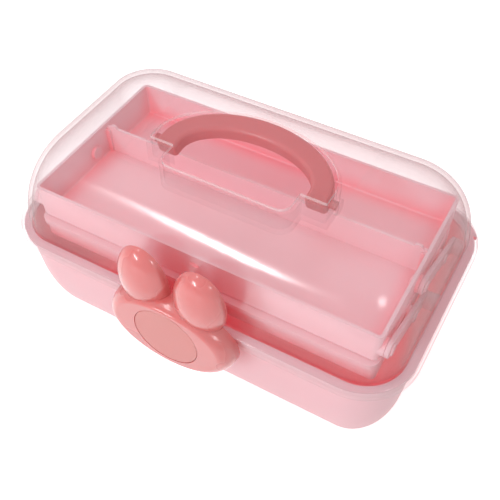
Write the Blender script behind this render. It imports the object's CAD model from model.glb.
import math

import bpy
from mathutils import Matrix, Vector


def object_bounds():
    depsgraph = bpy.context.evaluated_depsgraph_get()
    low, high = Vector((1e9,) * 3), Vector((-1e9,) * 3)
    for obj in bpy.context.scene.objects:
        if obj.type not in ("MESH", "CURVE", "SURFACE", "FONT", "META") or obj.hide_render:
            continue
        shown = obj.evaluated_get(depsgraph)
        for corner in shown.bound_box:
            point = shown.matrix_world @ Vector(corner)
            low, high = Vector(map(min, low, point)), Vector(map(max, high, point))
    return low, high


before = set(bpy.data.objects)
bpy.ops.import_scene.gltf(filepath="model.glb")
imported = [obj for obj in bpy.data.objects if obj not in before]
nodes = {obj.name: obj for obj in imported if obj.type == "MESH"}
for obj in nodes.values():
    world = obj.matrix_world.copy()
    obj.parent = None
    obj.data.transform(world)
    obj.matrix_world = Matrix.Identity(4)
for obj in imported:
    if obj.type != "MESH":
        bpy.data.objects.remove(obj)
cad_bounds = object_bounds()

# Camera, in the frame's metres and degrees
CAMERA_PLACE = (0.15545, -0.26352, 0.40387)
CAMERA_AZIMUTH = 30.12
CAMERA_ELEVATION = 48.91
CAMERA_ROLL = 0.62
CAMERA_LENS = 53.93
SENSOR_WIDTH = 36.0

# Floor of pale paper, and the sky. A shine is a strength: first as light on the box, then as the backdrop
# that the eye sees.
WHITE = (1.0, 1.0, 1.0)
FLOOR_HALF = 3.0
FLOOR_DROP = 0.0001
FLOOR_GREY = (0.80, 0.80, 0.80)
FLOOR_ROUGHNESS = 0.7
FIBRE_SCALE = 80.0
FIBRE_DETAIL = 4.0
FIBRE_DEPTH = 0.02
FLOOR_SHINE = (0.0, 0.6)
SKY_SHINE = (0.70, 1.0)

# Area lamps, in metres, watts and degrees. A fading lamp is strongest at the peak of its face, from 0 to 1
# across it. A lamp with receivers lights only those pieces, and a hidden one isn't seen in any gloss.
LAMP_TARGET = (0, 0, 0.07)
LAMPS = {
    "key_light": {
        "place": (-0.48, -0.97, 0.66), "size": (0.66, 0.20), "power": 4.0, "roll": -30,
        "peak": (0.8, 0.5), "strength": 3.4},
    "top_light": {
        "place": (-0.33, -0.05, 1.15), "size": (0.80, 0.80), "power": 3.0, "hidden": True},
    "front_light": {
        "place": (-0.15, -1.10, 0.55), "size": (0.80, 0.50), "power": 3.8, "hidden": True},
    "right_light": {
        "place": (0.85, -0.32, 0.69), "size": (0.34, 0.34), "power": 2.2,
        "peak": (0.5, 0.5), "strength": 1.6, "receivers": ("clear_lid", "latch_head")},
    "latch_light": {
        "place": (-0.42, -0.14, 1.17), "size": (0.36, 0.14), "power": 1.2,
        "receivers": ("latch_head", "latch_disc")},
}

# Colours of the plastics, linear light: first of their surfaces, then of the light that their walls let in
TUB_PINK = (0.70, 0.545, 0.585)
TRAY_PINK = (0.83, 0.625, 0.67)
NOOK_PINK = (1.0, 0.18, 0.24)
ROSE = (0.60, 0.15, 0.145)
HANDLE_ROSE = (0.62, 0.215, 0.225)
DISC_ROSE = (0.62, 0.24, 0.225)
TUB_LIGHT = (1.0, 0.42, 0.46)
TRAY_LIGHT = (0.92, 0.46, 0.50)
ROSE_LIGHT = (0.82, 0.20, 0.21)
HANDLE_LIGHT = (1.0, 0.62, 0.62)

# Moulded plastic: broad flow marks, fine grain, and red light that goes further in it than the rest.
# Light that comes through a wall has the surface's colour to the beyond power, so it is paler.
FLOW_SCALE = 22.0
FLOW_DETAIL = 3.0
FLOW_DEPTH = 0.04
FLOW_ROUGHNESS = 0.04
GRAIN_SCALE = 900.0
GRAIN_DETAIL = 2.0
GRAIN_STRENGTH = 0.05
GRAIN_HEIGHT = 0.0003
SCATTER_RADIUS = (1.0, 0.35, 0.3)
SCATTER_DEPTH = 0.005
COAT_ROUGHNESS = 0.1
BEYOND_POWER = 0.5
NOOK_SAMPLES = 16

# Clear plastic of the lid. Each share grows with a power of how far a surface turns away from the eye,
# and light may cross this many clear layers.
LID_HAZE = (0.95, 0.90, 0.90)
LID_CLEAR = (0.98, 0.975, 0.978)
LID_EDGE = (0.68, 0.55, 0.56)
LID_FLOW_SCALE = 30.0
LID_FLOW_DETAIL = 2.0
LID_FLOW_DEPTH = 0.01
HAZE_ROUGHNESS = 0.5
EDGE_POWER = 2.4
HAZE_POWER = 4.0
HAZE_SHARE = (0.02, 0.30)
GLOSS_POWER = 5.0
GLOSS_SHARE = (0.035, 0.16)
GLOSS_ROUGHNESS = (0.12, 0.18)
CLEAR_LAYERS = 40

# Walls of the handle's pocket in the lid are thinner and clearer than the rest, and their rim is hazier
POCKET_LOW = (-0.062, -0.033, 0.108)
POCKET_HIGH = (0.062, 0.040, 0.1305)
POCKET_SHARE = 0.3
RIM_LOW = (-0.062, -0.033, 0.1290)
RIM_HIGH = (0.062, 0.040, 0.1312)
RIM_HAZE = 0.35

# Drawn steel wire
STEEL = (0.55, 0.55, 0.57)
MARK_SCALE = 600.0
MARK_DETAIL = 2.0
MARK_DEPTH = 0.2
MARK_ROUGHNESS = (0.25, 0.4)


def fed(tree, socket, value):
    """Give an input a number, a colour or the output of another node."""
    if isinstance(value, bpy.types.NodeSocket):
        tree.links.new(value, socket)
    elif isinstance(value, tuple):
        socket.default_value = (*value, 1)
    else:
        socket.default_value = value


def made(tree, kind, inputs=()):
    """New node with some of its inputs fed, each known by its name or number."""
    node = tree.nodes.new(kind)
    for key, value in dict(inputs).items():
        fed(tree, node.inputs[key], value)
    return node


def found(tree, kind):
    """The one node of this type that the tree starts with."""
    return next(node for node in tree.nodes if node.type == kind)


def worked(tree, operation, *values):
    """Result of one step of arithmetic on numbers or outputs."""
    step = made(tree, "ShaderNodeMath", enumerate(values))
    step.operation = operation
    return step.outputs["Value"]


def ranged(tree, source, span):
    """Map a 0 to 1 value onto a range."""
    spread = made(tree, "ShaderNodeMapRange", {"Value": source, "To Min": span[0], "To Max": span[1]})
    return spread.outputs["Result"]


def moulded_noise(tree, scale, detail):
    """Object-space noise of one scale, in metres."""
    place = made(tree, "ShaderNodeTexCoord").outputs["Object"]
    noise = made(tree, "ShaderNodeTexNoise", {"Scale": scale, "Detail": detail, "Vector": place})
    return noise.outputs["Fac"]


def shaded(tree, colour, source, depth):
    """Colour that is a little darker where the source is low."""
    darker = tuple(part * (1 - depth) for part in colour)
    mix = made(tree, "ShaderNodeMixRGB", {"Color1": darker, "Color2": colour, "Fac": source})
    return mix.outputs["Color"]


def blended(tree, share, first, second):
    """Mix of two shaders; the share is a number or an output."""
    return made(tree, "ShaderNodeMixShader", {"Fac": share, 1: first.outputs[0], 2: second.outputs[0]})


def facing_curve(tree, power):
    """Value that rises from 0 where a surface faces the eye to 1 at its outline."""
    weight = made(tree, "ShaderNodeLayerWeight", {"Blend": 0.5})
    return worked(tree, "POWER", weight.outputs["Facing"], power)


def material(name):
    """New node material with its node tree and its Principled shader."""
    result = bpy.data.materials.new(name)
    result.use_nodes = True
    return result, result.node_tree, found(result.node_tree, "BSDF_PRINCIPLED")


def surfaced(tree, shader, colour):
    """End the tree in a shader whose surface also lets the light of lamps and sky through in this colour."""
    path = made(tree, "ShaderNodeLightPath")
    passing = made(tree, "ShaderNodeBsdfTransparent", {"Color": colour})
    both = blended(tree, path.outputs["Is Shadow Ray"], shader, passing)
    fed(tree, found(tree, "OUTPUT_MATERIAL").inputs["Surface"], both.outputs[0])


def deepened(tree, colour, reach):
    """Deeper colour inside the piece's own hollows, where light has crossed the plastic many times."""
    opening = made(tree, "ShaderNodeAmbientOcclusion", {"Distance": reach})
    opening.samples = NOOK_SAMPLES
    opening.only_local = True
    mix = made(
        tree, "ShaderNodeMixRGB",
        {"Color1": NOOK_PINK, "Color2": colour, "Fac": opening.outputs["AO"]})
    return mix.outputs["Color"]


def plastic(name, colour, light, roughness, coat, through, glow=0.0, nook_reach=0.0):
    """Injection-moulded polypropylene: faint flow marks, fine grain and light through its walls."""
    result, tree, shader = material(name)
    flow = moulded_noise(tree, FLOW_SCALE, FLOW_DETAIL)
    grain = moulded_noise(tree, GRAIN_SCALE, GRAIN_DETAIL)
    bump = made(
        tree, "ShaderNodeBump",
        {"Strength": GRAIN_STRENGTH, "Distance": GRAIN_HEIGHT, "Height": grain})
    surface_colour = shaded(tree, colour, flow, FLOW_DEPTH)
    if nook_reach:
        surface_colour = deepened(tree, surface_colour, nook_reach)
    spread = (roughness - FLOW_ROUGHNESS, roughness + FLOW_ROUGHNESS)
    fed(tree, shader.inputs["Base Color"], surface_colour)
    fed(tree, shader.inputs["Roughness"], ranged(tree, flow, spread))
    fed(tree, shader.inputs["Normal"], bump.outputs["Normal"])
    shader.inputs["Subsurface Weight"].default_value = glow
    shader.inputs["Subsurface Radius"].default_value = SCATTER_RADIUS
    shader.inputs["Subsurface Scale"].default_value = SCATTER_DEPTH
    shader.inputs["Coat Weight"].default_value = coat
    shader.inputs["Coat Roughness"].default_value = COAT_ROUGHNESS
    beyond_colour = tuple(part ** BEYOND_POWER for part in colour)
    beyond = made(tree, "ShaderNodeBsdfTranslucent", {"Color": beyond_colour})
    surfaced(tree, blended(tree, through, shader, beyond), light)
    return result


def boxed(tree, low, high, span):
    """One value outside a box of the frame and another inside it."""
    place = made(tree, "ShaderNodeTexCoord").outputs["Object"]
    split = made(tree, "ShaderNodeSeparateXYZ", {"Vector": place})
    within = 1.0
    for axis, least, most in zip("XYZ", low, high):
        reached = worked(tree, "COMPARE", split.outputs[axis], (least + most) / 2, (most - least) / 2)
        within = worked(tree, "MULTIPLY", within, reached)
    return ranged(tree, within, span)


def upright(tree):
    """1 on walls and 0 on level surfaces of the piece at rest."""
    direction = made(tree, "ShaderNodeTexCoord").outputs["Normal"]
    split = made(tree, "ShaderNodeSeparateXYZ", {"Vector": direction})
    return ranged(tree, worked(tree, "ABSOLUTE", split.outputs["Z"]), (1.0, 0.0))


def clear_plastic(name):
    """Clear polystyrene shell: a faint haze that grows towards its outline, and a gloss over it."""
    result, tree, shader = material(name)
    flow = moulded_noise(tree, LID_FLOW_SCALE, LID_FLOW_DETAIL)
    fed(tree, shader.inputs["Base Color"], shaded(tree, LID_HAZE, flow, LID_FLOW_DEPTH))
    shader.inputs["Roughness"].default_value = HAZE_ROUGHNESS
    shader.inputs["Specular IOR Level"].default_value = 0.0
    wall = boxed(tree, POCKET_LOW, POCKET_HIGH, (1.0, POCKET_SHARE))
    rim = boxed(tree, RIM_LOW, RIM_HIGH, (0.0, RIM_HAZE))
    edge = worked(tree, "MULTIPLY", facing_curve(tree, EDGE_POWER), wall)
    tint = made(tree, "ShaderNodeMixRGB", {"Color1": LID_CLEAR, "Color2": LID_EDGE, "Fac": edge})
    window = made(tree, "ShaderNodeBsdfTransparent", {"Color": tint.outputs["Color"]})
    haze = worked(tree, "MULTIPLY", ranged(tree, facing_curve(tree, HAZE_POWER), HAZE_SHARE), wall)
    rim_haze = worked(tree, "MULTIPLY", rim, upright(tree))
    body = blended(tree, worked(tree, "MAXIMUM", haze, rim_haze), window, shader)
    mirror_roughness = ranged(tree, flow, GLOSS_ROUGHNESS)
    mirror = made(tree, "ShaderNodeBsdfGlossy", {"Color": WHITE, "Roughness": mirror_roughness})
    gloss = worked(tree, "MULTIPLY", ranged(tree, facing_curve(tree, GLOSS_POWER), GLOSS_SHARE), wall)
    surfaced(tree, blended(tree, gloss, body, mirror), LID_CLEAR)
    return result


def steel(name):
    """Drawn wire with fine marks."""
    result, tree, shader = material(name)
    marks = moulded_noise(tree, MARK_SCALE, MARK_DETAIL)
    fed(tree, shader.inputs["Base Color"], shaded(tree, STEEL, marks, MARK_DEPTH))
    fed(tree, shader.inputs["Roughness"], ranged(tree, marks, MARK_ROUGHNESS))
    shader.inputs["Metallic"].default_value = 1.0
    return result


def background_rays(tree):
    """1 for rays by which the eye, a gloss or a clear part sees the backdrop, 0 for lighting rays."""
    path = made(tree, "ShaderNodeLightPath").outputs
    seen = worked(tree, "MAXIMUM", path["Is Camera Ray"], path["Is Glossy Ray"])
    return worked(tree, "MAXIMUM", seen, path["Is Transmission Ray"])


def studio_floor():
    """Wide sheet of pale paper just under the box."""
    bpy.ops.mesh.primitive_plane_add(size=2 * FLOOR_HALF, location=(0, 0, cad_bounds[0][2] - FLOOR_DROP))
    floor = bpy.context.object
    floor.name = "floor"
    result, tree, shader = material("floor_paper")
    fibres = moulded_noise(tree, FIBRE_SCALE, FIBRE_DETAIL)
    fed(tree, shader.inputs["Base Color"], shaded(tree, FLOOR_GREY, fibres, FIBRE_DEPTH))
    shader.inputs["Roughness"].default_value = FLOOR_ROUGHNESS
    fed(tree, shader.inputs["Emission Color"], WHITE)
    fed(tree, shader.inputs["Emission Strength"], ranged(tree, background_rays(tree), FLOOR_SHINE))
    floor.data.materials.append(result)


def studio_world():
    """Even white sky, brighter to the eye than as light."""
    world = bpy.data.worlds.new("studio")
    world.use_nodes = True
    tree = world.node_tree
    background = found(tree, "BACKGROUND")
    fed(tree, background.inputs["Color"], WHITE)
    fed(tree, background.inputs["Strength"], ranged(tree, background_rays(tree), SKY_SHINE))
    bpy.context.scene.world = world


def window_curve(tree, source, peak):
    """Smooth rise from 0 at one edge of a lamp to 1 at the peak and back to 0 at the other edge."""
    sides = []
    for edge in (0.0, 1.0):
        side = made(tree, "ShaderNodeMapRange", {"Value": source, "From Min": edge, "From Max": peak})
        side.interpolation_type = "SMOOTHSTEP"
        sides.append(side.outputs["Result"])
    return worked(tree, "MINIMUM", *sides)


def faded(lamp, peak, strength):
    """Lamp whose light is strongest at one place of its face and fades to nothing at its edges."""
    lamp.data.use_nodes = True
    tree = lamp.data.node_tree
    face = made(tree, "ShaderNodeNewGeometry").outputs["Parametric"]
    split = made(tree, "ShaderNodeSeparateXYZ", {"Vector": face})
    curves = [window_curve(tree, split.outputs[axis], place) for axis, place in zip("XY", peak)]
    light = ranged(tree, worked(tree, "MULTIPLY", *curves), (0.0, strength))
    fed(tree, found(tree, "EMISSION").inputs["Strength"], light)


def soft_box(name, place, size, power, roll=0.0, peak=None, strength=1.0, hidden=False, receivers=()):
    """Rectangular area lamp aimed at the target."""
    data = bpy.data.lights.new(name, "AREA")
    data.shape = "RECTANGLE"
    data.size, data.size_y = size
    data.energy = power
    lamp = bpy.data.objects.new(name, data)
    lamp.location = place
    aim = (Vector(LAMP_TARGET) - Vector(place)).to_track_quat("-Z", "Y").to_matrix()
    lamp.rotation_euler = (aim @ Matrix.Rotation(math.radians(roll), 3, "Z")).to_euler()
    lamp.visible_glossy = not hidden
    bpy.context.scene.collection.objects.link(lamp)
    if peak:
        faded(lamp, peak, strength)
    if receivers:
        lit = bpy.data.collections.new(name + "_pieces")
        for node_name in receivers:
            lit.objects.link(nodes[node_name])
        lamp.light_linking.receiver_collection = lit


def studio_camera():
    """Camera that looks along the photograph's azimuth and elevation."""
    turn = (
        Matrix.Rotation(math.radians(CAMERA_AZIMUTH), 3, "Z")
        @ Matrix.Rotation(math.radians(90 - CAMERA_ELEVATION), 3, "X")
        @ Matrix.Rotation(math.radians(-CAMERA_ROLL), 3, "Z"))
    data = bpy.data.cameras.new("camera")
    data.sensor_fit = "HORIZONTAL"
    data.sensor_width = SENSOR_WIDTH
    data.lens = CAMERA_LENS
    camera = bpy.data.objects.new("camera", data)
    camera.matrix_world = Matrix.Translation(Vector(CAMERA_PLACE)) @ turn.to_4x4()
    bpy.context.scene.collection.objects.link(camera)
    bpy.context.scene.camera = camera


tub_plastic = plastic(
    "tub_plastic", TUB_PINK, TUB_LIGHT, roughness=0.34, coat=0.1, through=0.25, nook_reach=0.12)
tray_plastic = plastic(
    "tray_plastic", TRAY_PINK, TRAY_LIGHT, roughness=0.35, coat=0.1, through=0.25, nook_reach=0.012)
handle_plastic = plastic(
    "handle_plastic", HANDLE_ROSE, HANDLE_LIGHT, roughness=0.3, coat=0.2, through=0.4, glow=0.3)
rose_plastic = plastic(
    "rose_plastic", ROSE, ROSE_LIGHT, roughness=0.28, coat=1.0, through=0.1, glow=0.45)
disc_plastic = plastic(
    "disc_plastic", DISC_ROSE, ROSE_LIGHT, roughness=0.4, coat=0.0, through=0.1, glow=0.2)
wire_steel = steel("wire_steel")

# Finish of each piece; the trays, dividers, arms and rivets, which aren't named here, are of tray plastic
FINISHES = {
    "base_box": tub_plastic,
    "clear_lid": clear_plastic("lid_plastic"),
    "carry_handle": handle_plastic,
    "latch_head": rose_plastic,
    "latch_disc": disc_plastic,
    "latch_pin": wire_steel,
    "left_hinge_pin": wire_steel,
    "right_hinge_pin": wire_steel,
}
for node_name, node in nodes.items():
    node.data.materials.clear()
    node.data.materials.append(FINISHES.get(node_name, tray_plastic))

studio_floor()
studio_world()
for lamp_name, settings in LAMPS.items():
    soft_box(lamp_name, **settings)
studio_camera()
bpy.context.scene.view_settings.view_transform = "Standard"
bpy.context.scene.cycles.transparent_max_bounces = CLEAR_LAYERS
